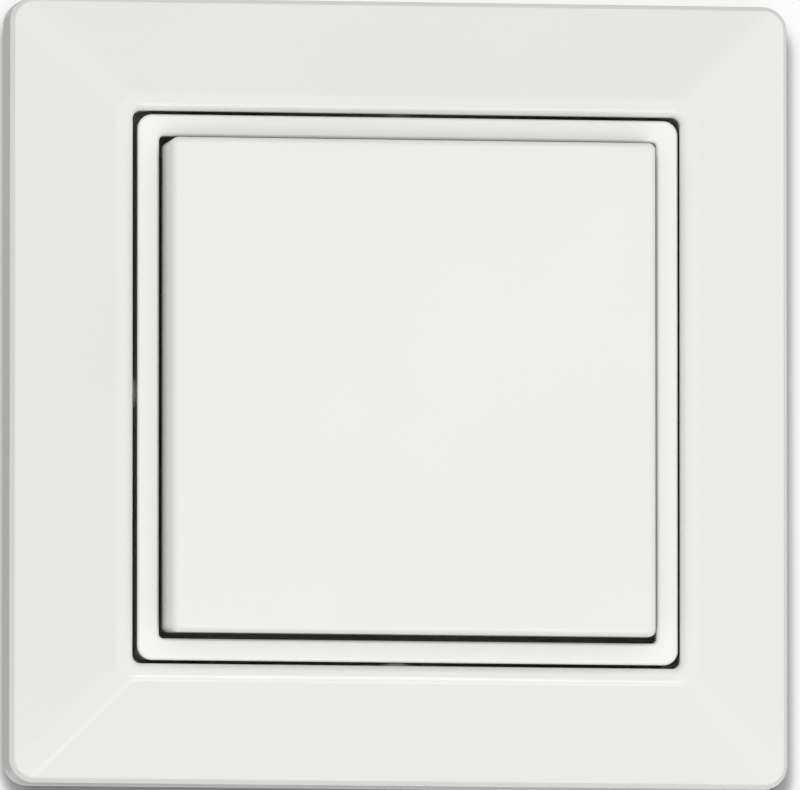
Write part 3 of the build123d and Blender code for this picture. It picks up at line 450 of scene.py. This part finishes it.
def wall_paint_with_painted_shadow():
    """White paint with a painted shadow of the part and a share of real shade, clear to every ray
    but the camera's from the room.
    """
    material, nodes, links, shader = new_material("wall_paint_with_painted_shadow")
    nodes.remove(shader)
    paint = nodes.new("ShaderNodeBsdfDiffuse")
    paint.inputs["Color"].default_value = WALL_PAINT

    # Painted shadow: a soft rim with round corners about a lowered square
    rim = distance_outside(
        nodes, links, object_coordinates(nodes), SHADOW_CENTRE, SHADOW_HALF - SHADOW_CORNER
    )
    reach = nodes.new("ShaderNodeMapRange")
    reach.inputs["From Min"].default_value = SHADOW_CORNER - SHADOW_INNER
    reach.inputs["From Max"].default_value = SHADOW_CORNER + SHADOW_OUTER
    links.new(rim, reach.inputs["Value"])
    tone = nodes.new("ShaderNodeValToRGB")
    stops = tone.color_ramp
    for position, _ in SHADOW_TONES[1:-1]:
        stops.elements.new(position)
    for stop, (position, level) in zip(stops.elements, SHADOW_TONES):
        stop.position = position
        stop.color = (*(level * share for share in SHADOW_TINT), 1)
    links.new(reach.outputs["Result"], tone.inputs["Fac"])
    # The painted shadow glows as emission; a share of real shade comes from the diffuse paint
    glow = nodes.new("ShaderNodeEmission")
    links.new(tone.outputs["Color"], glow.inputs["Color"])
    blend = nodes.new("ShaderNodeMixShader")
    blend.inputs["Fac"].default_value = REAL_SHADE_SHARE
    links.new(glow.outputs["Emission"], blend.inputs[1])
    links.new(paint.outputs["BSDF"], blend.inputs[2])

    # Only the camera's rays from the room meet the paint
    clear = nodes.new("ShaderNodeBsdfTransparent")
    path = nodes.new("ShaderNodeLightPath")
    side = nodes.new("ShaderNodeNewGeometry")
    front = nodes.new("ShaderNodeMath")
    front.operation = "SUBTRACT"
    links.new(path.outputs["Is Camera Ray"], front.inputs[0])
    links.new(side.outputs["Backfacing"], front.inputs[1])
    mix = nodes.new("ShaderNodeMixShader")
    links.new(front.outputs["Value"], mix.inputs["Fac"])
    links.new(clear.outputs["BSDF"], mix.inputs[1])
    links.new(blend.outputs["Shader"], mix.inputs[2])
    links.new(mix.outputs["Shader"], nodes["Material Output"].inputs["Surface"])
    return material


def reflector_grey():
    """Even grey that takes the place of the light from behind the wall."""
    material, nodes, links, shader = new_material("reflector_grey")
    nodes.remove(shader)
    glow = nodes.new("ShaderNodeEmission")
    glow.inputs["Strength"].default_value = REFLECTOR_TONE
    links.new(glow.outputs["Emission"], nodes["Material Output"].inputs["Surface"])
    return material


def wall():
    """White wall with a painted shadow of the part and some real shade, open to every ray but the
    camera's.
    """
    plane = flat_piece("wall", upright_square(WALL_HALF, WALL_DEPTH), [(0, 1, 2, 3)], wall_paint_with_painted_shadow())


def reflector():
    """Grey surround with an opening behind the part: it dims the side walls, not the back."""
    corners = upright_square(WALL_HALF, REFLECTOR_DEPTH)
    corners += upright_square(REFLECTOR_OPENING, REFLECTOR_DEPTH)
    faces = [(k, (k + 1) % 4, 4 + (k + 1) % 4, 4 + k) for k in range(4)]
    surround = flat_piece("reflector", corners, faces, reflector_grey())
    surround.visible_camera = False


wall()
reflector()


# Light: a pale room that is dimmer behind and straight below, and two soft lamps

WORLD_COLOUR = (1.0, 0.998, 0.99, 1)
WORLD_STRENGTH = 0.94

# Brightness along an axis: where the change starts and ends, and the level at each of the two
WORLD_LEVELS = (
    ("X", -1.0, 1.0, 0.94, 1.01),
    ("Z", -1.0, 1.0, 1.08, 0.95),
    ("Z", -1.0, -0.6, 0.55, 1.0),
    ("Y", 0.0, 0.4, 1.0, 0.6),
)

# Lamps: name, place and side in metres, and power in watts
LAMPS = (
    ("low_lamp", (0.12, -1.0, -0.8), 0.22, 0.9),
    ("edge_lamp", (0.2, -1.22, -0.4), 0.12, 0.75),
)


def world_light():
    """Pale surroundings with a slow change of brightness by direction."""
    world = bpy.data.worlds.new("room")
    bpy.context.scene.world = world
    world.use_nodes = True
    nodes, links = world.node_tree.nodes, world.node_tree.links
    background = nodes["Background"]
    coordinates = nodes.new("ShaderNodeTexCoord").outputs["Generated"]
    split = nodes.new("ShaderNodeSeparateXYZ")
    links.new(coordinates, split.inputs["Vector"])
    level = None
    for axis, start, end, low, high in WORLD_LEVELS:
        part = nodes.new("ShaderNodeMapRange")
        part.interpolation_type = "SMOOTHSTEP"
        part.inputs["From Min"].default_value = start
        part.inputs["From Max"].default_value = end
        part.inputs["To Min"].default_value = low
        part.inputs["To Max"].default_value = high
        links.new(split.outputs[axis], part.inputs["Value"])
        if level is None:
            level = part.outputs["Result"]
            continue
        product = nodes.new("ShaderNodeMath")
        product.operation = "MULTIPLY"
        links.new(level, product.inputs[0])
        links.new(part.outputs["Result"], product.inputs[1])
        level = product.outputs["Value"]
    strength = nodes.new("ShaderNodeMath")
    strength.operation = "MULTIPLY"
    strength.inputs[1].default_value = WORLD_STRENGTH
    links.new(level, strength.inputs[0])
    links.new(strength.outputs["Value"], background.inputs["Strength"])
    background.inputs["Color"].default_value = WORLD_COLOUR


def soft_lamp(name, place, size, watts):
    """Square soft lamp that faces the middle of the part and isn't seen itself."""
    light = bpy.data.lights.new(name, "AREA")
    light.size = size
    light.energy = watts
    lamp = bpy.data.objects.new(name, light)
    bpy.context.scene.collection.objects.link(lamp)
    lamp.location = place
    lamp.rotation_euler = Vector(place).to_track_quat("Z", "Y").to_euler()
    lamp.visible_camera = False


world_light()
for lamp_values in LAMPS:
    soft_lamp(*lamp_values)


# Camera


def place_camera():
    """Camera at the photograph's angle, aimed so that the ring's middle lands on its pixel."""
    data = bpy.data.cameras.new("camera")
    data.sensor_width = SENSOR_WIDTH
    seen_width = PHOTO_WIDTH / PIXELS_PER_METRE
    data.lens = SENSOR_WIDTH * CAMERA_DISTANCE / seen_width
    data.clip_end = CAMERA_REACH
    camera = bpy.data.objects.new("camera", data)
    bpy.context.scene.collection.objects.link(camera)
    level = math.cos(CAMERA_ELEVATION)
    away = Vector(
        (
            math.sin(CAMERA_AZIMUTH) * level,
            -math.cos(CAMERA_AZIMUTH) * level,
            math.sin(CAMERA_ELEVATION),
        )
    )
    turn = away.to_track_quat("Z", "Y").to_matrix()
    right = turn @ Vector((1, 0, 0))
    up = turn @ Vector((0, 1, 0))
    across = (RING_CENTRE_PIXEL[0] - PHOTO_WIDTH / 2) / PIXELS_PER_METRE
    above = (PHOTO_HEIGHT / 2 - RING_CENTRE_PIXEL[1]) / PIXELS_PER_METRE
    target = Vector((0, -RING_FRONT_DEPTH, 0)) - across * right - above * up
    camera.matrix_world = Matrix.Translation(target + away * CAMERA_DISTANCE) @ turn.to_4x4()
    bpy.context.scene.camera = camera


place_camera()
bpy.context.scene.view_settings.view_transform = "Standard"
